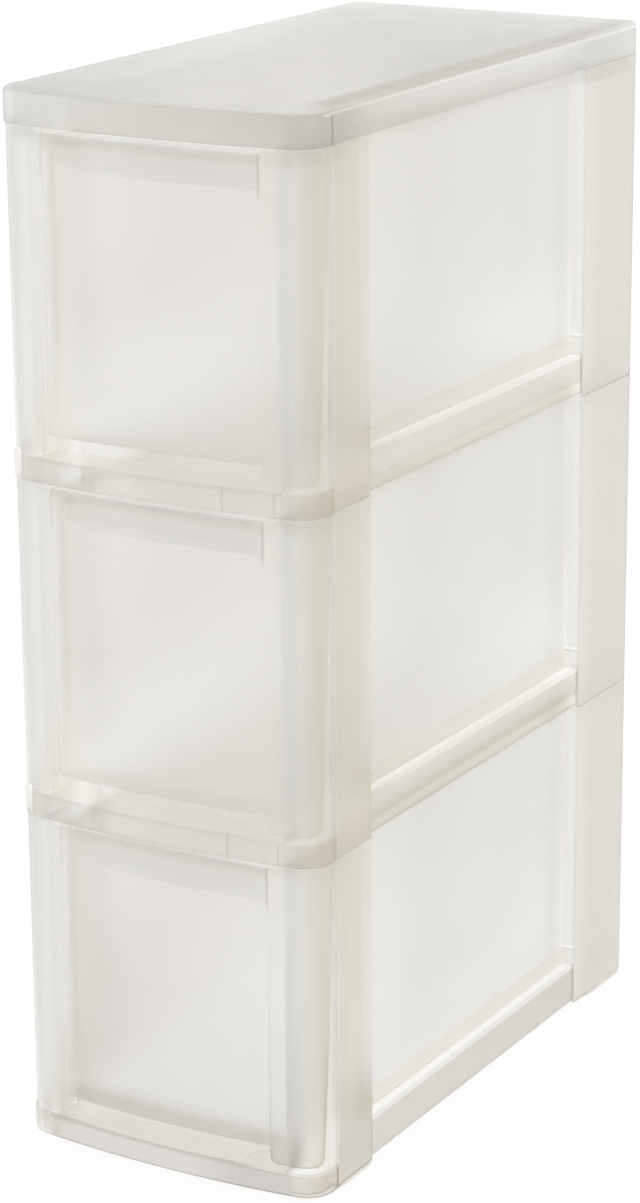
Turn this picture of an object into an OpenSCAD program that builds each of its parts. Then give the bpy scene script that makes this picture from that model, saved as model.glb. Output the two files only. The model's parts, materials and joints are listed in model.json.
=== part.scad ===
// Slim three-drawer tower, moulded in translucent polypropylene.
// Millimetres. +Z is up, the drawers face -Y, and the origin is the middle
// of the footprint on the floor.

/* [Tower] */
// Width across the trays and the top board
body_w = 180; // [165:1:240]
// Depth from the crown of the bowed front to the back
body_d = 360; // [300:1:420]
// Height of one tier, from the underside of a tray to the underside of the next
tier_h = 178.5; // [140:0.5:240]
// Height of the top board
top_h = 17.5; // [16:0.5:26]
// Height of the feet below the base tray
foot_h = 2.5; // [1.5:0.5:6]

/* [Outline] */
// How far the front bows out at its middle
bow = 4.5; // [2:0.5:8]
// Radius of the front corners
front_r = 15; // [12:0.5:18]
// Radius of the back corners
back_r = 8; // [7:0.5:14]
// Radius of the rolled edge round the top board
roll_r = 3; // [1.5:0.5:4]
// Depth, from the crown of the front, that the front lips wrap round the sides
wrap_d = 25.5; // [22:0.5:32]

/* [Walls] */
// Wall of the trays and the top board
tray_wall = 2.2; // [1.6:0.1:3]
// Wall of the side posts
post_wall = 2; // [1.4:0.1:2.4]
// Wall of the recessed side panels
panel_wall = 1.8; // [1.2:0.1:2.6]
// Wall of the back panels
back_wall = 1.6; // [1:0.1:2.4]
// Wall of the drawer boxes
box_wall = 1.8; // [1.2:0.1:2.6]
// Wall of the drawer fronts
front_wall = 2; // [1.4:0.1:2.6]

/* [Trays] */
// Height of the front lip of a tray
lip_h = 12.5; // [9:0.5:14]
// Height of the top of the tray floor above the underside of the tray
floor_z = 22.5; // [20:0.5:28]
// Depth of the riser between the finger ledge and the floor
riser_d = 22; // [18:0.5:28]
// Height of the rail's lower edge above the underside of the tray
rail_z = 2.5; // [0.5:0.5:5]
// Height of the rail's outer edge above the underside of the tray
rail_h = 24; // [23:0.5:30]
// Rise of the sloping ledge between the rail and the side panel
ledge_rise = 9; // [6:0.5:14]
// Distance of the stiffening ribs from the middle
rib_x = 41; // [30:1:55]
// Thickness of the ribs
rib_t = 1.6; // [1:0.1:2.4]
// How far the posts stand back behind the front lips
rail_in = 0.8; // [0.4:0.1:1.5]
// How far the rails stand back behind the posts
rail_step = 0.5; // [0.3:0.1:1]

/* [Posts] */
// Width of the posts, inwards from the widest point of the tower
post_w = 20; // [18:0.5:26]
// Depth of the back of the front posts behind the crown of the front
front_post_d = 61; // [50:1:80]
// Depth of the back posts
back_post_d = 64.5; // [45:0.5:80]
// Height of the collars that stand inside the feet of the posts
collar_h = 19; // [14:0.5:19.5]
// Length of the spigots that reach down into the heads of the posts
spigot_l = 8; // [5:0.5:9]
// Depth of the side panels behind the widest point of the tower
panel_in = 8.8; // [6:0.2:10]
// Radius of the corners of the panel recess
recess_r = 4; // [2.5:0.5:12]

/* [Drawers] */
// Width of a drawer box
box_w = 125.4; // [100:0.2:128]
// Radius of the upright corners of a drawer box
box_r = 8; // [6:0.5:14]
// Radius of the lower edges of a drawer box
box_low_r = 6; // [3:0.5:7]
// Space between the back of a drawer box and the back of the tower
box_back = 16; // [12:1:40]
// Width of the rim along the sides of a drawer box
rim_w = 6; // [4:0.5:6.5]
// Height of the rim's turned-down edge
rim_h = 7; // [4:0.5:12]
// Height of the lower edge of the wings above the underside of the tray
wing_z = 16; // [15:0.5:20]
// Height of the lower edge of a front between its wings
grip_z = 25; // [22:0.5:30]
// Step between the wings and the middle of a front
crease = 0.8; // [0.4:0.1:1.2]
// Depth of the wings at their lower end, from the crown of the front
wing_low_d = 14; // [12:0.5:20]
// Depth of the wings at their upper end, from the crown of the front
wing_high_d = 23; // [18:0.5:24]
// Height of the folded-back strip inside the top of a front
strip_h = 15; // [8:0.5:24]
// Distance the drawers travel before their stops meet the posts
travel = 220; // [150:5:250]

/* [Fits] */
// Clearance of a seated or sliding piece
fit = 0.3; // [0.2:0.05:0.5]
// Gap at the seams where one tier stands on another
seam = 0.2; // [0.1:0.05:0.4]
// Gap between the top of a drawer front's wings and the lip above
top_gap = 1; // [0.6:0.1:2]
// Extra gap above the middle of a drawer front
mid_drop = 2; // [0:0.5:4]

/* [Hidden] */

$fn = 96;

milky = [0.9, 0.9, 0.87];
clear_milky = [0.93, 0.93, 0.91];

half_w = body_w / 2;
post_x = half_w - post_w;
post_mid_y = body_d - back_post_d;
tier_count = 3;

// The front is an arc that runs tangent into the corner arcs.
corner_x = half_w - front_r;
bow_r = (corner_x * corner_x + bow * bow) / (2 * bow);
corner_y = bow_r - sqrt(pow(bow_r - front_r, 2) - corner_x * corner_x);

// Fits and seats that several pieces share.
front_back = rail_in + crease + front_wall;
wing_room = rail_in + front_wall + 2 * fit;
seat = post_wall + fit;
panel_x = half_w - panel_in;
ledge_z = rail_h + ledge_rise;
box_x = box_w / 2;
box_floor_z = floor_z + fit;
box_y0 = front_back + fit + box_x * box_x / (2 * bow_r);
box_y1 = body_d - box_back;
front_top_z = tier_h - top_gap;
mid_top_z = front_top_z - mid_drop;
box_rim_z = mid_top_z - front_wall - fit;
hook_y = box_y0 + box_wall + fit;
stop_y = front_post_d + travel + fit;
stop_x = post_x + post_wall + 1;
stop_l = 8;
guide_h = 12;
foot_in = 0.6;
edge_r = 4;
tongue_h = 4.5;
past_back = body_d + 1;
far = 2 * body_d;

// ---- Outline shared by every piece -------------------------------------

// Plan of the tower, pulled in evenly by inset. The rails reach body_d.
module plan(inset = 0) {
    tangent_x = corner_x * (1 + (front_r - inset) / (bow_r - front_r));
    back_y = body_d + rail_in;
    intersection() {
        translate([0, bow_r]) circle(bow_r - inset, $fn = 7 * $fn);
        translate([-tangent_x, 0]) square([2 * tangent_x, corner_y]);
    }
    for (s = [-1, 1])
        translate([s * corner_x, corner_y]) circle(front_r - inset);
    translate([inset - half_w, corner_y])
        square([2 * (half_w - inset), back_y - back_r - corner_y]);
    for (s = [-1, 1])
        translate([s * (half_w - back_r), back_y - back_r]) circle(back_r - inset);
    translate([back_r - half_w, corner_y])
        square([2 * (half_w - back_r), back_y - inset - corner_y]);
}

// Plan clipped between two depths.
module plan_between(inset, y0, y1) {
    intersection() {
        plan(inset);
        translate([-half_w, y0]) square([body_w, y1 - y0]);
    }
}

// Plan of the carcass: set back in front, where the wings of the drawers lie.
module carcass(inset = 0) {
    plan_between(wing_room + inset, 0, wrap_d + inset + 1);
    plan_between(rail_in + inset, wrap_d + inset, past_back);
}

// Footprint of a post on the right. outer pulls in its outside faces, inner
// pulls in the two faces that look into the tower.
module post_cell(front, outer, inner) {
    x0 = post_x + inner;
    y0 = front ? 0 : post_mid_y + inner;
    y1 = front ? front_post_d - inner : past_back;
    intersection() {
        carcass(outer);
        translate([x0, y0]) square([half_w - x0, y1 - y0]);
    }
}

// The outside walls of a post, from inset outer on, open towards the tower.
module outside_walls(front, outer, inner, wall) {
    difference() {
        post_cell(front, outer, inner);
        post_cell(front, outer + wall, inner - 1);
    }
}

// The two walls of a post that look into the tower.
module inside_walls(front, outer, wall) {
    difference() {
        post_cell(front, outer + wall / 2, 0);
        post_cell(front, 0, wall);
    }
}

// Moves a piece from plan depths to the frame and up to its height.
module placed(z) {
    translate([0, -body_d / 2, z]) children();
}

module both_sides() {
    children();
    mirror([1, 0, 0]) children();
}

// Extrudes a YZ outline across X, from x0 over w.
module across(x0, w) {
    translate([x0, 0, 0]) rotate([90, 0, 90]) linear_extrude(w) children();
}

// ---- Top board -----------------------------------------------------------

// One rolled block: plan from y0 to y1, its upper edge rounded.
module rolled(inset, y0, y1) {
    steps = 5;
    linear_extrude(top_h - roll_r) plan_between(inset, y0, y1);
    hull() {
        for (k = [0 : steps]) {
            a = 90 * k / steps;
            translate([0, 0, top_h - roll_r + roll_r * sin(a) - 0.01])
                linear_extrude(0.01)
                    plan_between(inset + roll_r * (1 - cos(a)), y0, y1, $fn = 48);
        }
    }
}

module top_board() {
    color(milky) placed(foot_h + tier_count * tier_h) {
        difference() {
            union() {
                rolled(rail_in, 0, past_back);
                rolled(0, 0, wrap_d);
            }
            translate([0, 0, -1]) linear_extrude(top_h - tray_wall + 1)
                plan(rail_in + tray_wall);
        }
        both_sides() {
            for (front = [true, false]) {
                spigot(front, top_h - tray_wall);
                linear_extrude(tray_wall) post_cell(front, tray_wall / 2, seat + tray_wall / 2);
            }
            translate([rib_x - rib_t / 2, 2 * tray_wall, tray_wall])
                cube([rib_t, body_d - 4 * tray_wall, top_h - 2 * tray_wall]);
        }
    }
}

// ---- Trays ---------------------------------------------------------------

// Sloping ledge between the rail and the side panel, with the panel's groove.
module ledge() {
    y0 = front_post_d + fit;
    run = post_mid_y - fit - y0;
    x_out = half_w - rail_in - rail_step;
    x_in = panel_x + fit;
    translate([0, y0 + run, 0]) rotate([90, 0, 0]) linear_extrude(run)
        polygon([
            [x_out, rail_h - tray_wall], [x_out, rail_h], [x_in, ledge_z],
            [x_in, ledge_z - tray_wall * 1.4], [x_out - tray_wall, rail_h - tray_wall * 1.4]
        ]);
    translate([x_out - tray_wall, y0, rail_z]) cube([tray_wall, run, rail_h - rail_z - 1]);
    rib_in = panel_x - panel_wall - fit - rib_t;
    translate([rib_in, y0, floor_z]) cube([rib_t, run, ledge_z - floor_z - 2]);
}

// Closed ring that fits the inside of a post, from below 0 up to top.
module spigot(front, top) {
    translate([0, 0, -spigot_l]) linear_extrude(spigot_l + top) difference() {
        post_cell(front, seat, seat);
        post_cell(front, seat + tray_wall, seat + tray_wall);
    }
}

// Collar that stands inside the foot of the post above. Its floor closes it.
module collar(front) {
    linear_extrude(collar_h) outside_walls(front, seat, tray_wall / 2, tray_wall);
    linear_extrude(floor_z) inside_walls(front, seat, tray_wall);
    linear_extrude(tray_wall) post_cell(front, seat + tray_wall / 2, tray_wall / 2);
}

// Plan of the tray floor: it meets the collars and leaves the posts free.
module floor_plan() {
    difference() {
        intersection() {
            carcass(rail_step);
            translate([-half_w, riser_d]) square([body_w, body_d]);
        }
        both_sides() for (front = [true, false]) {
            post_cell(front, 0, tray_wall / 2);
            outside_walls(front, 0, -fit, seat);
        }
    }
}

module tray() {
    // front lip with its flat upper edge, the finger ledge
    linear_extrude(lip_h) difference() {
        plan_between(0, 0, wrap_d - fit);
        plan(tray_wall);
    }
    translate([0, 0, lip_h - tray_wall]) linear_extrude(tray_wall) difference() {
        plan_between(0, 0, riser_d + tray_wall);
        both_sides() post_cell(true, -fit, -fit);
    }
    // riser and floor
    translate([-post_x - 1, riser_d, lip_h - tray_wall])
        cube([2 * post_x + 2, tray_wall, floor_z - lip_h + tray_wall]);
    translate([0, 0, floor_z - tray_wall]) linear_extrude(tray_wall) floor_plan();
    // back wall between the posts
    translate([fit - post_x, body_d - tray_wall, 0])
        cube([2 * (post_x - fit), tray_wall, floor_z]);
    both_sides() {
        ledge();
        collar(true);
        collar(false);
        // underside rib and the rib that guides the drawer
        translate([rib_x - rib_t / 2, tray_wall, 1])
            cube([rib_t, body_d - 2 * tray_wall - 1, lip_h - tray_wall]);
        translate([rib_x - rib_t / 2, riser_d, 1])
            cube([rib_t, body_d - riser_d - tray_wall, floor_z - tray_wall]);
        translate([box_x + 2 * fit, riser_d, floor_z - 1])
            cube([rib_t, box_y1 - riser_d, guide_h + 1]);
    }
}

// Foot under one post, ramped at the end that faces the other post.
module foot(front) {
    ramp = front ? 12 : 20;
    y0 = front ? wrap_d - 4 : post_mid_y + 4;
    y1 = front ? front_post_d - 1 : body_d - 2;
    intersection() {
        translate([0, 0, -foot_h]) linear_extrude(foot_h) post_cell(front, foot_in, foot_in);
        across(0, half_w)
            polygon([[y0, 0], [y0 + ramp, -foot_h], [y1, -foot_h], [y1, 0]]);
    }
}

// Tray that stands on the posts of the tier below.
module stacked_tray() {
    tray();
    both_sides() for (front = [true, false]) spigot(front, 0);
}

module upper_tray() {
    color(milky) placed(foot_h + 2 * tier_h) stacked_tray();
}

module middle_tray() {
    color(milky) placed(foot_h + tier_h) stacked_tray();
}

module base_tray() {
    color(milky) placed(foot_h) {
        tray();
        both_sides() for (front = [true, false]) foot(front);
    }
}

// ---- Side frames -----------------------------------------------------------

// Opening in the wall of a post that looks across the tower.
module inside_slot(front) {
    y0 = front ? wrap_d : post_mid_y + 3 * post_wall;
    y1 = front ? front_post_d - 3 * post_wall : body_d - post_wall;
    translate([post_x - 1, y0]) square([post_wall + 2, y1 - y0]);
}

// Fills one corner of the panel recess with a thin rounded web.
// (dy, dz) points from the corner into the recess.
module recess_corner(y, z, dy, dz) {
    x_out = half_w - rail_in;
    depth = x_out - panel_x + 1;
    module sector(r) {
        difference() {
            translate([min(0, dy * recess_r), min(0, dz * recess_r)])
                square(recess_r);
            translate([dy * recess_r, dz * recess_r]) circle(r);
        }
    }
    translate([0, y, z]) {
        across(x_out - post_wall, post_wall) sector(recess_r);
        across(x_out - depth, depth) difference() {
            sector(recess_r);
            sector(recess_r + post_wall);
        }
    }
}

module side_frame() {
    low = floor_z + fit;
    high = tier_h - seam;
    for (front = [true, false]) {
        // outside faces run on from tier to tier, inside faces stand on the tray
        translate([0, 0, seam]) linear_extrude(high - seam)
            outside_walls(front, 0, 0, post_wall);
        translate([0, 0, low]) linear_extrude(high - low) difference() {
            inside_walls(front, 0, post_wall);
            inside_slot(front);
        }
    }
    translate([panel_x - panel_wall, front_post_d - 1, low])
        cube([panel_wall, post_mid_y - front_post_d + 2, high - low]);
    // tongue that reaches up between the collars of the piece above
    translate([panel_x - panel_wall, front_post_d + fit, tier_h - 1])
        cube([panel_wall, post_mid_y - front_post_d - 2 * fit, tongue_h + 1]);
    for (end = [[front_post_d - 0.5, 1], [post_mid_y + 0.5, -1]]) {
        recess_corner(end[0], high, end[1], -1);
        recess_corner(end[0], ledge_z + fit, end[1], 1);
    }
}

module right_side(tier) {
    color(milky) placed(foot_h + tier * tier_h) side_frame();
}

module left_side(tier) {
    color(milky) placed(foot_h + tier * tier_h) mirror([1, 0, 0]) side_frame();
}

// ---- Back panels -----------------------------------------------------------

module back_panel(tier) {
    y1 = body_d - seat;
    x1 = post_x + post_wall;
    color(clear_milky) placed(foot_h + tier * tier_h)
        translate([-x1, y1 - back_wall, floor_z + seam])
            cube([2 * x1, back_wall, tier_h - 2 * seam - floor_z]);
}

// ---- Drawers ---------------------------------------------------------------

// Rounded rectangle of width w between two depths.
module round_rect(w, y0, y1, r) {
    translate([-w / 2 + r, y0]) square([w - 2 * r, y1 - y0]);
    translate([-w / 2, y0 + r]) square([w, y1 - y0 - 2 * r]);
    for (s = [-1, 1])
        for (y = [y0 + r, y1 - r])
            translate([s * (w / 2 - r), y]) circle(r);
}

// Elevation from a to b with its lower corners rounded.
module low_rounded(a, b, h, r) {
    translate([a + r, 0]) square([b - a - 2 * r, h]);
    translate([a, r]) square([b - a, h - r]);
    for (x = [a + r, b - r])
        translate([x, r]) circle(r);
}

// Block with rounded upright edges and, by low_r, rounded lower edges.
module tub(w, y0, y1, h, r, low_r) {
    intersection() {
        linear_extrude(h) round_rect(w, y0, y1, r);
        across(-w, 2 * w) low_rounded(y0, y1, h + 1, low_r);
        translate([0, far, 0]) rotate([90, 0, 0]) linear_extrude(2 * far)
            low_rounded(-w / 2, w / 2, h + 1, low_r);
    }
}

module drawer_box(tier) {
    h = box_rim_z - box_floor_z;
    color(clear_milky) placed(foot_h + tier * tier_h + box_floor_z) {
        difference() {
            tub(box_w, box_y0, box_y1, h, box_r, box_low_r);
            translate([0, 0, box_wall])
                tub(box_w - 2 * box_wall, box_y0 + box_wall, box_y1 - box_wall,
                    h, box_r - box_wall, box_low_r - box_wall);
        }
        both_sides() {
            // rim with its turned-down edge
            translate([box_x - 1, box_y0 + box_r, h - box_wall])
                cube([rim_w + 1, box_y1 - box_y0 - 2 * box_r, box_wall]);
            translate([box_x + rim_w - box_wall, box_y0 + box_r, h - rim_h])
                cube([box_wall, box_y1 - box_y0 - 2 * box_r, rim_h]);
            // stop that meets the front post
            translate([box_x - 1, stop_y, h - rim_h])
                cube([stop_x - box_x + 1, stop_l, rim_h]);
        }
        // rim along the back
        translate([-box_x + box_r, box_y1 - 1, h - box_wall])
            cube([box_w - 2 * box_r, rim_w / 2 + 1, box_wall]);
    }
}

// Shell of a front between two depths behind the lips.
module front_skin(inset) {
    difference() {
        plan_between(inset, 0, wrap_d);
        plan(inset + front_wall);
    }
}

// Front elevation of one wing with rounded corners, on the right.
module wing_face() {
    x0 = box_x - 0.5;
    translate([x0, wing_z + edge_r]) square([half_w, front_top_z - wing_z - 2 * edge_r]);
    translate([x0 + edge_r, wing_z]) square([half_w, front_top_z - wing_z]);
    for (z = [wing_z + edge_r, front_top_z - edge_r])
        translate([x0 + edge_r, z]) circle(edge_r);
}

// Side elevation of a wing: its back edge leans, its lower corner is round.
module wing_side() {
    lean = (wing_high_d - wing_low_d) / (front_top_z - wing_z);
    difference() {
        polygon([[-1, wing_z - 1], [wing_low_d, wing_z - 1],
            [wing_high_d + lean, front_top_z + 1], [-1, front_top_z + 1]]);
        difference() {
            translate([wing_low_d - edge_r, wing_z - 1.5]) square(edge_r + 1.5);
            translate([wing_low_d - edge_r, wing_z + edge_r]) circle(edge_r);
            translate([wing_low_d - 2 * edge_r, wing_z + edge_r]) square(2 * edge_r + 2);
        }
    }
}

module drawer_front(tier) {
    color(milky) placed(foot_h + tier * tier_h) {
        both_sides() intersection() {
            linear_extrude(tier_h) front_skin(rail_in);
            translate([0, far, 0]) rotate([90, 0, 0]) linear_extrude(2 * far) wing_face();
            across(0, half_w) wing_side();
        }
        intersection() {
            linear_extrude(mid_top_z) front_skin(rail_in + crease);
            translate([-box_x, 0, grip_z]) cube([box_w, wrap_d, tier_h]);
        }
        // strip folded back over the top edge of the box
        translate([0, 0, mid_top_z - front_wall]) linear_extrude(front_wall)
            intersection() {
                plan_between(rail_in + crease, 0, hook_y + box_wall);
                translate([box_r - box_x, 0]) square([box_w - 2 * box_r, body_d]);
            }
        translate([box_r - box_x, hook_y, mid_top_z - strip_h])
            cube([box_w - 2 * box_r, box_wall, strip_h]);
    }
}

// ---- Assembly --------------------------------------------------------------

top_board();
upper_tray();
middle_tray();
base_tray();
right_side(2);  // upper_right_side
right_side(1);  // middle_right_side
right_side(0);  // lower_right_side
left_side(2);  // upper_left_side
left_side(1);  // middle_left_side
left_side(0);  // lower_left_side
back_panel(2);  // upper_back_panel
back_panel(1);  // middle_back_panel
back_panel(0);  // lower_back_panel
drawer_box(2);  // upper_drawer_box
drawer_box(1);  // middle_drawer_box
drawer_box(0);  // lower_drawer_box
drawer_front(2);  // upper_drawer_front
drawer_front(1);  // middle_drawer_front
drawer_front(0);  // lower_drawer_front
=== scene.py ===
import json
import math
import bpy
from mathutils import Matrix, Vector

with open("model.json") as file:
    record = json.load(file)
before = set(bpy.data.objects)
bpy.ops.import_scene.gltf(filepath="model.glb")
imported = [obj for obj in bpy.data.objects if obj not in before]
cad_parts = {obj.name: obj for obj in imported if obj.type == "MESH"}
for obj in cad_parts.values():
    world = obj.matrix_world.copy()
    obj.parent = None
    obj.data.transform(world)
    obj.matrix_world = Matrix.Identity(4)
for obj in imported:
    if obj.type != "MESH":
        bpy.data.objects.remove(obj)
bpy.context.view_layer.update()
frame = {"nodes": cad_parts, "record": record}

MM = 0.001

# ---- Camera ----------------------------------------------------------------
CAM_POS = (926.6, -1593.6, 823.4)   # mm, in the CAD frame
CAM_YAW, CAM_PITCH, CAM_ROLL = 30.435, 16.976, 0.431   # degrees
CAM_FOCAL_PX, FRAME_H_PX, SENSOR = 3586.8, 1203, 36
CLIP_NEAR, CLIP_FAR = 0.05, 50   # metres


def make_camera():
    cy, sy = math.cos(math.radians(CAM_YAW)), math.sin(math.radians(CAM_YAW))
    cp, sp = math.cos(math.radians(CAM_PITCH)), math.sin(math.radians(CAM_PITCH))
    cr, sr = math.cos(math.radians(CAM_ROLL)), math.sin(math.radians(CAM_ROLL))
    level, right, up = Vector((-sy, cy, 0)), Vector((cy, sy, 0)), Vector((0, 0, 1))
    ahead = level * cp - up * sp
    down = -(up * cp + level * sp)
    x, y = right * cr + down * sr, down * cr - right * sr
    cam = bpy.data.objects.new("camera", bpy.data.cameras.new("camera"))
    turn = Matrix((x, -y, -ahead)).transposed().to_4x4()
    turn.translation = Vector(CAM_POS) * MM
    cam.matrix_world = turn
    cam.data.sensor_width = SENSOR
    cam.data.lens = CAM_FOCAL_PX * SENSOR / FRAME_H_PX
    cam.data.clip_start, cam.data.clip_end = CLIP_NEAR, CLIP_FAR
    bpy.context.scene.collection.objects.link(cam)
    bpy.context.scene.camera = cam


# ---- Node helpers ----------------------------------------------------------

def new_tree(name):
    mat = bpy.data.materials.new(name)
    mat.use_nodes = True
    mat.node_tree.nodes.clear()
    return mat, mat.node_tree


def put(tree, socket, value):
    """Links value to a socket, or writes it there when it is a plain number or colour."""
    if isinstance(value, bpy.types.NodeSocket):
        tree.links.new(value, socket)
    else:
        socket.default_value = value


def calc(tree, kind, a, b=0.0, clamp=False):
    node = tree.nodes.new("ShaderNodeMath")
    node.operation = kind
    node.use_clamp = clamp
    put(tree, node.inputs[0], a)
    put(tree, node.inputs[1], b)
    return node.outputs[0]


def ramp(tree, value, low, high, a=0.0, b=1.0):
    """a below low, b above high, with a smooth run between them."""
    node = tree.nodes.new("ShaderNodeMapRange")
    node.interpolation_type = "SMOOTHSTEP"
    for k, v in enumerate((value, low, high, a, b)):
        put(tree, node.inputs[k], v)
    return node.outputs[0]


def blend_colour(tree, share, a, b):
    node = tree.nodes.new("ShaderNodeMix")
    node.data_type = "RGBA"
    put(tree, node.inputs[0], share)
    put(tree, node.inputs[6], a)
    put(tree, node.inputs[7], b)
    return node.outputs[2]


def place(tree):
    """Object coordinates, which are the CAD frame's, as one vector and as X, Y, Z."""
    coord = tree.nodes.new("ShaderNodeTexCoord").outputs["Object"]
    split = tree.nodes.new("ShaderNodeSeparateXYZ")
    tree.links.new(coord, split.inputs[0])
    return coord, split.outputs[0], split.outputs[1], split.outputs[2]


def noise(tree, coord, scale, detail=2.0):
    node = tree.nodes.new("ShaderNodeTexNoise")
    node.inputs["Scale"].default_value = scale
    node.inputs["Detail"].default_value = detail
    tree.links.new(coord, node.inputs["Vector"])
    return node.outputs[0]


def seen_directly(tree):
    """1 for rays that come from the camera, from gloss or through the plastic."""
    path = tree.nodes.new("ShaderNodeLightPath")
    a = calc(tree, "MAXIMUM", path.outputs["Is Camera Ray"], path.outputs["Is Glossy Ray"])
    return calc(tree, "MAXIMUM", a, path.outputs["Is Transmission Ray"])


def mix_shader(tree, share, a, b, out):
    mix = tree.nodes.new("ShaderNodeMixShader")
    put(tree, mix.inputs[0], share)
    tree.links.new(a.outputs[0], mix.inputs[1])
    tree.links.new(b.outputs[0], mix.inputs[2])
    tree.links.new(mix.outputs[0], out.inputs[0])


# ---- Light and floor -------------------------------------------------------
SKY, SKY_LEVEL = (1, 0.995, 0.985, 1), 1.0
WHITE = (1, 1, 1, 1)
FLOOR, FLOOR_SIZE = (0.93, 0.93, 0.92, 1), 12
FLOOR_GLOW, GLOW_LEVEL = 0.9, 1.02   # share of the floor that glows, and how bright


def make_world():
    """Soft even light; where the sky is seen directly it is plain white."""
    world = bpy.data.worlds.new("studio")
    bpy.context.scene.world = world
    world.use_nodes = True
    tree = world.node_tree
    tree.nodes.clear()
    out = tree.nodes.new("ShaderNodeOutputWorld")
    lit = tree.nodes.new("ShaderNodeBackground")
    lit.inputs["Color"].default_value = SKY
    lit.inputs["Strength"].default_value = SKY_LEVEL
    white = tree.nodes.new("ShaderNodeBackground")
    white.inputs["Color"].default_value = WHITE
    mix_shader(tree, seen_directly(tree), lit, white, out)


def make_floor():
    """White floor that keeps a faint shadow where it is seen directly."""
    bpy.ops.mesh.primitive_plane_add(size=FLOOR_SIZE)
    floor = bpy.context.object
    floor.name = "floor"
    mat, tree = new_tree("floor_white")
    out = tree.nodes.new("ShaderNodeOutputMaterial")
    matte = tree.nodes.new("ShaderNodeBsdfDiffuse")
    matte.inputs["Color"].default_value = FLOOR
    glow = tree.nodes.new("ShaderNodeEmission")
    glow.inputs["Strength"].default_value = GLOW_LEVEL
    share = calc(tree, "MULTIPLY", seen_directly(tree), FLOOR_GLOW)
    mix_shader(tree, share, matte, glow, out)
    floor.data.materials.append(mat)


# ---- Masks -----------------------------------------------------------------
# Lines of the tower that the tints follow, in metres.
CORNER_X, FRONT_R, BOW = 0.075, 0.015, 0.0045
FRONT_Y, CORNER_Y, WING_END_Y = -0.180, -0.1604, -0.1543
FRONT_POST_END_Y, BACK_POST_START_Y = -0.119, 0.1155
POST_X, PANEL_X, RAIL_X, RIB_X = 0.070, 0.0803, 0.0887, 0.041
FOOT_H, TIER_H, LIP_H, COLLAR_H, RAIL_H = 0.0025, 0.1785, 0.0125, 0.019, 0.024
LEDGE_SLOPE = 1.25
CAP_Z = FOOT_H + 3 * TIER_H
MIDDLE_X = (-0.010, 0.010)
SHARP = 0.0002   # half the width of a sharp edge between two tints


def below(tree, value, edge, soft=SHARP):
    return ramp(tree, value, edge - soft, edge + soft, 1.0, 0.0)


def above(tree, value, edge, soft=SHARP):
    return ramp(tree, value, edge - soft, edge + soft)


def rise(tree, value, span):
    return ramp(tree, value, span[0], span[1])


def fall(tree, value, span):
    return ramp(tree, value, span[0], span[1], 1.0, 0.0)


def both(tree, a, b):
    return calc(tree, "MULTIPLY", a, b)


def within(tree, value, span, soft=SHARP):
    return both(tree, above(tree, value, span[0], soft), below(tree, value, span[1], soft))


def painted_light_on_left(tree, x, share, span=MIDDLE_X):
    """1 on the right of the tower and share on its left: a tint it scales is weaker on the
    left, as painted light from that side.
    """
    return ramp(tree, x, span[0], span[1], share, 1.0)


def layered(tree, colour, *layers):
    """Lays each (share, colour) over the ones before it."""
    for share, top in layers:
        colour = blend_colour(tree, share, colour, top)
    return colour


def inset_of(tree, x, y):
    """How far a point lies inside the bowed outline of the tower."""
    ax = calc(tree, "ABSOLUTE", x)
    bend = calc(tree, "POWER", calc(tree, "DIVIDE", ax, CORNER_X), 2.0)
    bowed = calc(tree, "MULTIPLY", calc(tree, "SUBTRACT", 1.0, bend, clamp=True), BOW)
    qx = calc(tree, "MAXIMUM", calc(tree, "SUBTRACT", ax, CORNER_X), 0.0)
    dy = calc(tree, "SUBTRACT", calc(tree, "SUBTRACT", CORNER_Y, y), bowed)
    qy = calc(tree, "MAXIMUM", dy, 0.0)
    far = calc(tree, "SQRT", calc(tree, "ADD", both(tree, qx, qx), both(tree, qy, qy)))
    return calc(tree, "SUBTRACT", FRONT_R, far)


def tier_z(tree, z):
    """Height above the underside of the tray of the same tier."""
    return calc(tree, "MODULO", calc(tree, "SUBTRACT", z, FOOT_H), TIER_H)


# ---- Plastic ---------------------------------------------------------------
# Tints colour the outermost faces only; what lies deeper stays nearly clear.
INNER = (1.000, 0.999, 0.997, 1)
CLOUD, CLOUD_SHARE = (0.88, 0.87, 0.85, 1), 0.02
CLOUD_SCALE, PATCH_SCALE, GRAIN_SCALE = 14.0, 60.0, 900.0
NOISE_SPAN, ROUGH_SPREAD = (0.3, 0.7), 0.03
GRAIN_STRENGTH, GRAIN_DEPTH = 0.12, 0.0001


def plastic(name, tint, rough, ior):
    """Milky polypropylene: light passes and scatters; tint(tree, x, y, z) gives its colour."""
    mat, tree = new_tree(name)
    coord, x, y, z = place(tree)
    out = tree.nodes.new("ShaderNodeOutputMaterial")
    skin = tree.nodes.new("ShaderNodeBsdfPrincipled")
    base = tint(tree, x, y, z)
    cloud = ramp(tree, noise(tree, coord, CLOUD_SCALE), *NOISE_SPAN, 0.0, CLOUD_SHARE)
    put(tree, skin.inputs["Base Color"], blend_colour(tree, cloud, base, CLOUD))
    skin.inputs["IOR"].default_value = ior
    skin.inputs["Transmission Weight"].default_value = 1.0
    patches = noise(tree, coord, PATCH_SCALE)
    put(tree, skin.inputs["Roughness"],
        ramp(tree, patches, *NOISE_SPAN, rough - ROUGH_SPREAD, rough + ROUGH_SPREAD))
    grain = tree.nodes.new("ShaderNodeBump")
    grain.inputs["Strength"].default_value = GRAIN_STRENGTH
    grain.inputs["Distance"].default_value = GRAIN_DEPTH
    put(tree, grain.inputs["Height"], noise(tree, coord, GRAIN_SCALE))
    tree.links.new(grain.outputs[0], skin.inputs["Normal"])
    tree.links.new(skin.outputs[0], out.inputs[0])
    return mat


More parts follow.
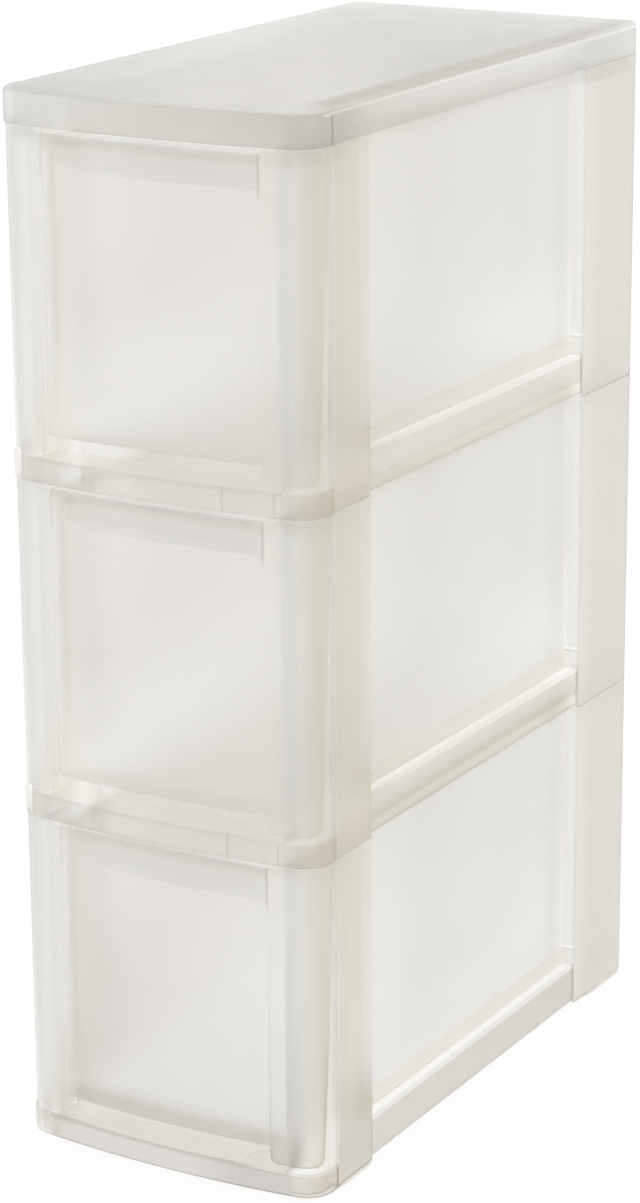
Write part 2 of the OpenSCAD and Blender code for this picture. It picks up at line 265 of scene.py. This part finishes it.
# Side frames: colours, depth of the tint, and the stretches over which it changes.
PANEL = (0.875, 0.863, 0.841, 1)
# painted light on the panel: lighter low in each tier, towards the front and towards the rear
PANEL_LOW_LIT = (0.992, 0.979, 0.955, 1)
PANEL_FRONT_LIT = (1.000, 0.990, 0.968, 1)
PANEL_REAR_LIT = (0.925, 0.914, 0.892, 1)
# painted shade on the end face of the recess at the back post
RECESS_END_SHADE = (0.760, 0.748, 0.720, 1)
POST = (0.823, 0.788, 0.672, 1)
# painted light: the post lighter towards its rear, and a painted highlight on the rim where it
# meets the panel
POST_REAR_LIT = (0.905, 0.870, 0.750, 1)
POST_RIM_HIGHLIGHT = (0.968, 0.958, 0.918, 1)
POST_LOW = (0.830, 0.792, 0.670, 1)
# painted shadow: the post darker near the floor
POST_FLOOR_SHADOW = (0.580, 0.542, 0.458, 1)
CORNER = (0.920, 0.890, 0.820, 1)
SEAM = (0.780, 0.760, 0.700, 1)
BACK_EDGE = (0.780, 0.756, 0.680, 1)
BACK_POST = (0.695, 0.666, 0.580, 1)
SIDE_SKIN, STEP_SKIN, CORNER_SKIN = 0.0018, 0.0050, 0.0040
PANEL_Y = (FRONT_POST_END_Y - 0.0010, BACK_POST_START_Y)
RECESS_END_Y = (BACK_POST_START_Y - 0.0003, BACK_POST_START_Y + 0.0010)
PANEL_NEAR_Y, PANEL_REAR_Y, PANEL_LOW_Z = (-0.105, -0.040), (0.050, 0.100), (0.034, 0.085)
POST_Y, POST_REAR_Y = (WING_END_Y, FRONT_POST_END_Y), (-0.1520, -0.1330)
POST_LOW_Z, POST_FOOT_Z = (0.012, 0.055), (0.015, 0.075)
RIM_Y, RIM_SOFT = (FRONT_POST_END_Y - 0.0100, FRONT_POST_END_Y + 0.0010), 0.0012
STEP_Y = (WING_END_Y - 0.0007, WING_END_Y + 0.0003)
POST_CORNER_X, POST_CORNER_Y = (0.0790, 0.0860), WING_END_Y + 0.001
BACK_DEEP_Y = (BACK_POST_START_Y, BACK_POST_START_Y + 0.020)
# painted light: the front post's tint is weaker on the left, so that post is lighter
LEFT_POST_LIT = 0.5   # strength of the front post's tint on the left


def side_tint(tree, x, y, z):
    ax, inset, up = calc(tree, "ABSOLUTE", x), inset_of(tree, x, y), tier_z(tree, z)
    skin, recess = below(tree, inset, SIDE_SKIN), above(tree, ax, PANEL_X)
    panel = both(tree, recess, within(tree, y, PANEL_Y))
    post = both(tree, skin, within(tree, y, POST_Y))
    # painted light on the left post
    post = both(tree, post, painted_light_on_left(tree, x, LEFT_POST_LIT))
    step = both(tree, below(tree, inset, STEP_SKIN), within(tree, y, STEP_Y))
    corner = both(tree, below(tree, inset, CORNER_SKIN), below(tree, y, POST_CORNER_Y))
    back = both(tree, skin, above(tree, y, BACK_POST_START_Y))
    return layered(
        tree, INNER,
        (panel, PANEL),
        # painted light: the panel lighter towards the front, the rear and low down
        (both(tree, panel, fall(tree, y, PANEL_NEAR_Y)), PANEL_FRONT_LIT),
        (both(tree, panel, rise(tree, y, PANEL_REAR_Y)), PANEL_REAR_LIT),
        (both(tree, panel, fall(tree, up, PANEL_LOW_Z)), PANEL_LOW_LIT),
        # painted shade in the recess
        (both(tree, recess, within(tree, y, RECESS_END_Y)), RECESS_END_SHADE),
        (post, POST),
        # painted light towards the post's rear and painted highlight on its rim
        (both(tree, post, rise(tree, y, POST_REAR_Y)), POST_REAR_LIT),
        (both(tree, skin, within(tree, y, RIM_Y, RIM_SOFT)), POST_RIM_HIGHLIGHT),
        (both(tree, post, fall(tree, up, POST_LOW_Z)), POST_LOW),
        # painted shadow near the floor
        (both(tree, post, fall(tree, z, POST_FOOT_Z)), POST_FLOOR_SHADOW),
        (both(tree, corner, rise(tree, x, POST_CORNER_X)), CORNER),
        (both(tree, step, above(tree, x, 0.0)), SEAM),
        (back, BACK_EDGE),
        (both(tree, back, rise(tree, y, BACK_DEEP_Y)), BACK_POST))


# Trays: one look for the two stacked trays and one for the base tray, which is darker all over
# as painted shadow from the floor it stands on.
LIP = (0.805, 0.782, 0.735, 1)
LIP_LEFT = (0.705, 0.697, 0.682, 1)
LIP_CORNER = (0.785, 0.742, 0.678, 1)
# painted light: the lip's left corner is lighter than its right
LIP_EDGE = (0.930, 0.915, 0.885, 1)
LIP_FLANK = (0.900, 0.868, 0.790, 1)
LIP_RIB = (0.660, 0.630, 0.570, 1)
# painted highlight along the rail's top edge and the lip's upper edge
HIGHLIGHT_LINE = (0.860, 0.835, 0.780, 1)
RAIL = (0.645, 0.624, 0.553, 1)
RAIL_REAR = (0.622, 0.601, 0.532, 1)
RAIL_FOOT = (0.880, 0.850, 0.758, 1)
LEDGE = (1.000, 0.968, 0.903, 1)
RISER = (0.930, 0.920, 0.890, 1)
COLLAR = (0.870, 0.832, 0.740, 1)
STACKED = {
    "lip": LIP, "left": LIP_LEFT, "right": LIP, "corner": LIP_CORNER, "edge": LIP_EDGE,
    "flank": LIP_FLANK, "rib": LIP_RIB, "line": HIGHLIGHT_LINE, "rail": RAIL, "ends": RAIL_REAR,
    "foot": RAIL_FOOT, "ledge": LEDGE, "riser": RISER, "collar": COLLAR,
}
# painted shadow on the base tray: darker all over, darkest on the right; its left corner is
# lighter as painted light
BASE_SKIN = (0.570, 0.533, 0.487, 1)
BASE_RIGHT_SHADE = (0.435, 0.404, 0.368, 1)
BASE_CORNER = (0.620, 0.568, 0.492, 1)
BASE_LEFT_LIT = (0.860, 0.832, 0.785, 1)
BASE_SIDE = (0.555, 0.508, 0.440, 1)
BASE_COLLAR = (0.640, 0.598, 0.530, 1)
# the base tray's riser colour, also used for its painted highlight line
BASE_RISER_AND_HIGHLIGHT = (0.790, 0.767, 0.725, 1)
BASE = {
    "lip": BASE_SKIN, "left": BASE_SKIN, "right": BASE_RIGHT_SHADE, "corner": BASE_CORNER,
    "edge": BASE_LEFT_LIT, "flank": BASE_CORNER, "rib": BASE_RIGHT_SHADE, "line": BASE_RISER_AND_HIGHLIGHT,
    "rail": BASE_SIDE, "ends": BASE_SIDE, "foot": BASE_SIDE, "ledge": LEDGE,
    "riser": BASE_RISER_AND_HIGHLIGHT, "collar": BASE_COLLAR,
}
LIP_SKIN, COLLAR_SKIN, RAIL_SKIN, LEDGE_SKIN = 0.0011, 0.0016, 0.0006, 0.0012
LEDGE_X, LEDGE_Y = 0.0790, (FRONT_POST_END_Y + 0.0004, BACK_POST_START_Y - 0.0005)
RAIL_REAR_Y = (0.040, 0.100)
# height of the rail's painted highlight line
RAIL_LINE_Z = RAIL_H - 0.0022
RAIL_FOOT_Z, RAIL_FOOT_SOFT = (0.0032, 0.0088), 0.0014
COLLAR_X, COLLAR_Z = POST_X - 0.0005, (LIP_H - 0.004, COLLAR_H + 0.001)
GAP_X, GAP_Y, GAP_Z = POST_X + 0.0010, (FRONT_Y + 0.002, -0.1540), (0.0095, 0.0225)
LIP_TOP_Z, LIP_EDGE_Z, LIP_EDGE_X = LIP_H + 0.001, LIP_H - 0.0010, (0.040, 0.060)
LIP_CORNER_X, LIP_FLANK_Y = (0.0690, 0.0790), (-0.1640, -0.1540)
LIP_LEFT_X, LIP_RIGHT_X = (-0.050, -0.010), (0.010, 0.050)
LIP_RIB_X = (RIB_X - 0.0008, RIB_X + 0.0004)
LIP_JOINT_X = (POST_X - 0.0018, POST_X - 0.0006)
# painted light: the rail's and ledge's tints are weaker on the left, which lets more light
# through that side
LEFT_RAIL_LIT = 0.3   # strength of the rail's and ledge's tint on the left


def rail_layers(tree, x, ax, y, up, between):
    """The rail along each side, and the ledge that slopes up from it to the panel."""
    # painted light: rail and ledge tints weaker on the left
    near = painted_light_on_left(tree, x, LEFT_RAIL_LIT)
    rail = both(tree, above(tree, ax, RAIL_X - RAIL_SKIN), between)
    climb = calc(tree, "MULTIPLY", calc(tree, "SUBTRACT", RAIL_X, ax), LEDGE_SLOPE)
    depth = calc(tree, "SUBTRACT", up, calc(tree, "ADD", climb, RAIL_H))
    ledge = both(tree, above(tree, ax, LEDGE_X), between)
    ledge = both(tree, above(tree, depth, -LEDGE_SKIN), ledge)
    ends = both(tree, rail, rise(tree, y, RAIL_REAR_Y))
    foot = both(tree, rail, within(tree, up, RAIL_FOOT_Z, RAIL_FOOT_SOFT))
    # painted highlight along the rail's top edge
    line = both(tree, rail, above(tree, up, RAIL_LINE_Z))
    return [(both(tree, ledge, near), "ledge"), (both(tree, rail, near), "rail"),
            (both(tree, ends, near), "ends"), (both(tree, foot, near), "foot"), (line, "line")]


def lip_layers(tree, x, ax, y, up, inset):
    """The bowed front lip with its corners, flanks, rib and upper edge."""
    lip = both(tree, below(tree, inset, LIP_SKIN), below(tree, up, LIP_TOP_Z))
    corner = both(tree, lip, rise(tree, ax, LIP_CORNER_X))
    upper = both(tree, lip, above(tree, up, LIP_EDGE_Z))
    return [(lip, "lip"),
            (both(tree, lip, fall(tree, x, LIP_LEFT_X)), "left"),
            (both(tree, lip, rise(tree, x, LIP_RIGHT_X)), "right"),
            (corner, "corner"),
            # painted light on the lip's left corner
            (both(tree, corner, below(tree, x, 0.0)), "edge"),
            (both(tree, lip, rise(tree, y, LIP_FLANK_Y)), "flank"),
            (both(tree, lip, within(tree, x, LIP_RIB_X)), "rib"),
            (both(tree, lip, within(tree, x, LIP_JOINT_X)), "rib"),
            # painted highlight along the lip's upper edge
            (both(tree, upper, rise(tree, x, LIP_EDGE_X)), "line")]


def tray_tint(look):
    def tint(tree, x, y, z):
        ax, inset, up = calc(tree, "ABSOLUTE", x), inset_of(tree, x, y), tier_z(tree, z)
        between = within(tree, y, LEDGE_Y)
        collar = both(tree, above(tree, ax, COLLAR_X), calc(tree, "SUBTRACT", 1.0, between))
        collar = both(tree, collar, fall(tree, up, COLLAR_Z))
        collar = both(tree, collar, below(tree, inset, COLLAR_SKIN))
        gap = both(tree, within(tree, up, GAP_Z), within(tree, y, GAP_Y))
        gap = both(tree, gap, below(tree, ax, GAP_X))
        layers = [(collar, "collar"), (gap, "riser")]
        layers += rail_layers(tree, x, ax, y, up, between)
        layers += lip_layers(tree, x, ax, y, up, inset)
        return layered(tree, INNER, *((mask, look[key]) for mask, key in layers))
    return tint


# Top board, with painted light and shade on its top and its shell, and a painted highlight
# along its right top edge.
CAP_TOP = (0.905, 0.892, 0.865, 1)
# painted shade on the top: darker towards the right and the back, and towards the front left
# corner
CAP_TOP_FAR_SHADE = (0.770, 0.757, 0.728, 1)
CAP_TOP_NEAR_SHADE = (0.770, 0.764, 0.752, 1)
# painted light and shade on the shell: lighter on the left, darker at the rear, at the front
# and most at the front right corner, where the corner block inside also shows through
CAP_LEFT_LIT = (0.890, 0.882, 0.868, 1)
CAP_SIDE = (0.830, 0.816, 0.792, 1)
CAP_REAR_SHADE = (0.735, 0.720, 0.680, 1)
CAP_FRONT_SHADE = (0.730, 0.709, 0.668, 1)
CAP_CORNER_SHADE = (0.640, 0.610, 0.560, 1)
# painted shade: a dark band on the top inside its right edge, where the wall below blocks the
# light
CAP_EDGE_SHADE = (0.650, 0.628, 0.580, 1)
# painted highlight along the right top edge
CAP_LINE = (1.000, 0.990, 0.960, 1)
CAP_SKIN, ROOF_Z = 0.0019, CAP_Z + 0.0162
CAP_REAR_Y, CAP_LEFT_X = (0.090, 0.150), (-0.085, -0.040)
CAP_FRONT_X, CAP_FRONT_Y = (-0.080, 0.020), (-0.1550, -0.0750)
CAP_DARK_X, CAP_DARK_Y = (0.0350, 0.0850), (-0.1600, -0.1100)
# directions of the painted shade across the top
FAR_SKEW, FAR_SPAN = 1.5, (-0.02, 0.10)        # along y + 1.5 x
NEAR_SKEW, NEAR_SPAN = 0.5, (-0.155, -0.060)   # along x + 0.5 y
BAND_X, BAND_SOFT, BAND_Y = (0.0745, 0.0862), 0.0028, (-0.1600, -0.1400)
# where the painted highlight line on the cap lies
LINE_X, LINE_Y = 0.0850, (-0.1650, -0.1590)
LINE_Z, LINE_SOFT = (CAP_Z + 0.0142, CAP_Z + 0.0157), 0.0003


def cap_tint(tree, x, y, z):
    roof = above(tree, z, ROOF_Z)
    shell = below(tree, inset_of(tree, x, y), CAP_SKIN)
    far_way = calc(tree, "ADD", y, calc(tree, "MULTIPLY", x, FAR_SKEW))
    near_way = calc(tree, "ADD", x, calc(tree, "MULTIPLY", y, NEAR_SKEW))
    front = both(tree, rise(tree, x, CAP_FRONT_X), fall(tree, y, CAP_FRONT_Y))
    dark = both(tree, rise(tree, x, CAP_DARK_X), fall(tree, y, CAP_DARK_Y))
    band = both(tree, roof, within(tree, x, BAND_X, BAND_SOFT))
    line = both(tree, above(tree, x, LINE_X), within(tree, z, LINE_Z, LINE_SOFT))
    return layered(
        tree, INNER,
        (shell, CAP_SIDE),
        # painted light and shade on the shell
        (both(tree, shell, rise(tree, y, CAP_REAR_Y)), CAP_REAR_SHADE),
        (both(tree, shell, fall(tree, x, CAP_LEFT_X)), CAP_LEFT_LIT),
        (both(tree, shell, front), CAP_FRONT_SHADE),
        (both(tree, shell, dark), CAP_CORNER_SHADE),
        (roof, CAP_TOP),
        # painted shade across the top
        (both(tree, roof, rise(tree, far_way, FAR_SPAN)), CAP_TOP_FAR_SHADE),
        (both(tree, roof, fall(tree, near_way, NEAR_SPAN)), CAP_TOP_NEAR_SHADE),
        # painted shade band inside the right edge
        (both(tree, band, rise(tree, y, BAND_Y)), CAP_EDGE_SHADE),
        # painted highlight along the right top edge
        (both(tree, line, rise(tree, y, LINE_Y)), CAP_LINE))


# Drawer fronts.
FRONT = (0.962, 0.953, 0.936, 1)
# painted highlight on the curved corners of the front
FRONT_TURN_HIGHLIGHT = (0.975, 0.967, 0.949, 1)
FRONT_BAND = (0.885, 0.877, 0.868, 1)
# painted light and shade on the front: lighter near the top on the right, darker low down,
# lighter low on the right
FRONT_TOP_LIT = (1.000, 0.992, 0.978, 1)
FRONT_LOW = (0.955, 0.944, 0.920, 1)
FRONT_LOW_RIGHT_LIT = (0.998, 0.988, 0.965, 1)
# painted shadow: the bottom drawer's front darker near the floor
FRONT_FLOOR_SHADOW = (0.775, 0.757, 0.730, 1)
STRIP = (0.880, 0.873, 0.861, 1)
# painted shade: the right wing darker than the left, lighter where it turns towards the side
WING = (0.882, 0.860, 0.815, 1)
WING_SIDE = (0.930, 0.905, 0.850, 1)
# painted shadow: the bottom wing darker near the floor
WING_FLOOR_SHADOW = (0.790, 0.752, 0.672, 1)
TICK = (0.700, 0.680, 0.650, 1)
FRONT_SKIN = 0.0026
BAND_LEFT_X, BAND_RIGHT_X = (-0.064, -0.056), (-0.040, -0.012)
FRONT_TOP_X, FRONT_TOP_Z = (-0.045, -0.020), (0.095, 0.135)
FRONT_LOW_X, FRONT_LOW_Z = (-0.020, 0.030), (0.035, 0.095)
# painted light: the strip's tint fades to a weaker share on the left
STRIP_X, STRIP_Z, STRIP_FADE_X, LEFT_STRIP_LIT = 0.0620, (0.1582, 0.1775), (-0.062, 0.020), 0.45
TURN_X, WING_X, WING_SIDE_Y = (0.0630, 0.0700), (0.0775, 0.0850), (-0.1705, -0.1640)
WING_FOOT_Z = (0.020, 0.190)
FRONT_FOOT_X, FRONT_FOOT_Z = (-0.066, -0.050), (0.030, 0.180)
# painted light: the tick's tint is weaker on the left
TICK_X, TICK_Z, LEFT_TICK_LIT = (0.0606, 0.0624), (0.1500, 0.1590), 0.4
WING_END_X, WING_BACK_Y = 0.0800, WING_END_Y - 0.0012


def front_tint(tree, x, y, z):
    ax, up = calc(tree, "ABSOLUTE", x), tier_z(tree, z)
    band = both(tree, rise(tree, x, BAND_LEFT_X), fall(tree, x, BAND_RIGHT_X))
    top = both(tree, rise(tree, up, FRONT_TOP_Z), rise(tree, x, FRONT_TOP_X))
    low = fall(tree, up, FRONT_LOW_Z)
    strip = both(tree, within(tree, up, STRIP_Z), below(tree, ax, STRIP_X))
    # painted light: strip tint weaker on the left
    strip = both(tree, strip, painted_light_on_left(tree, x, LEFT_STRIP_LIT, STRIP_FADE_X))
    foot = both(tree, rise(tree, x, FRONT_FOOT_X), fall(tree, z, FRONT_FOOT_Z))
    wing = rise(tree, x, WING_X)
    tick = both(tree, within(tree, ax, TICK_X), rise(tree, up, TICK_Z))
    colour = layered(
        tree, FRONT,
        (band, FRONT_BAND),
        # painted light and shade on the front
        (top, FRONT_TOP_LIT),
        (low, FRONT_LOW),
        (both(tree, low, rise(tree, x, FRONT_LOW_X)), FRONT_LOW_RIGHT_LIT),
        (strip, STRIP),
        # painted highlight on the curved corners
        (rise(tree, ax, TURN_X), FRONT_TURN_HIGHLIGHT),
        # painted shadow near the floor
        (foot, FRONT_FLOOR_SHADOW),
        # painted shade on the right wing
        (wing, WING),
        (both(tree, wing, rise(tree, y, WING_SIDE_Y)), WING_SIDE),
        # painted shadow on the wing near the floor
        (both(tree, wing, fall(tree, z, WING_FOOT_Z)), WING_FLOOR_SHADOW),
        # painted light: tick tint weaker on the left
        (both(tree, tick, painted_light_on_left(tree, x, LEFT_TICK_LIT)), TICK))
    skin = below(tree, inset_of(tree, x, y), FRONT_SKIN)
    end = both(tree, above(tree, y, WING_BACK_Y), above(tree, x, WING_END_X))
    return layered(tree, INNER, (skin, colour), (end, SEAM))


# Drawer boxes: the left wall, the back wall and the rim; clear low down.
BOX_WALL = (0.925, 0.915, 0.893, 1)
BOX_RIM = (0.930, 0.918, 0.892, 1)
BOX_WALL_X, BOX_BACK_Y, BOX_RIM_Z, BOX_FADE_Z = -0.0565, 0.1580, 0.1690, (0.025, 0.085)


def box_tint(tree, x, y, z):
    up = tier_z(tree, z)
    wall = both(tree, below(tree, x, BOX_WALL_X), rise(tree, up, BOX_FADE_Z))
    back = both(tree, above(tree, y, BOX_BACK_Y), rise(tree, up, BOX_FADE_Z))
    rim = above(tree, up, BOX_RIM_Z)
    return layered(tree, INNER, (wall, BOX_WALL), (back, BOX_WALL), (rim, BOX_RIM))


def even(colour):
    return lambda tree, x, y, z: colour


# ---- Dressing of the CAD nodes ---------------------------------------------
LOOK_OF_SLOT = {"tray_plastic": "tray", "side_plastic": "side", "back_plastic": "back",
                "box_plastic": "box", "front_plastic": "front"}
LOOK_OF_NODE = {"top_board": "cap", "base_tray": "base"}


def dress(looks):
    """Gives each node its slot's look, or its own where it has one."""
    for row in frame["record"]["subparts"]:
        look = LOOK_OF_NODE.get(row["node"], LOOK_OF_SLOT[row["material_slot"]])
        ob = frame["nodes"][row["node"]]
        ob.data.materials.clear()
        ob.data.materials.append(looks[look])


make_camera()
make_world()
make_floor()
dress({
    "side": plastic("side_plastic", side_tint, rough=0.6, ior=1.17),
    "tray": plastic("tray_plastic", tray_tint(STACKED), rough=0.5, ior=1.03),
    # the base tray's look carries painted shadow
    "base": plastic("base_shadowed_plastic", tray_tint(BASE), rough=0.5, ior=1.05),
    "cap": plastic("cap_plastic", cap_tint, rough=0.6, ior=1.15),
    "front": plastic("front_plastic", front_tint, rough=0.55, ior=1.17),
    "box": plastic("box_plastic", box_tint, rough=0.42, ior=1.035),
    "back": plastic("back_plastic", even(INNER), rough=0.4, ior=1.05),
})

scene = bpy.context.scene
scene.view_settings.view_transform = "Standard"
# light passes many thin walls before it leaves the tower
scene.cycles.max_bounces = 96
scene.cycles.diffuse_bounces = 32
scene.cycles.transmission_bounces = 96
scene.cycles.glossy_bounces = 48
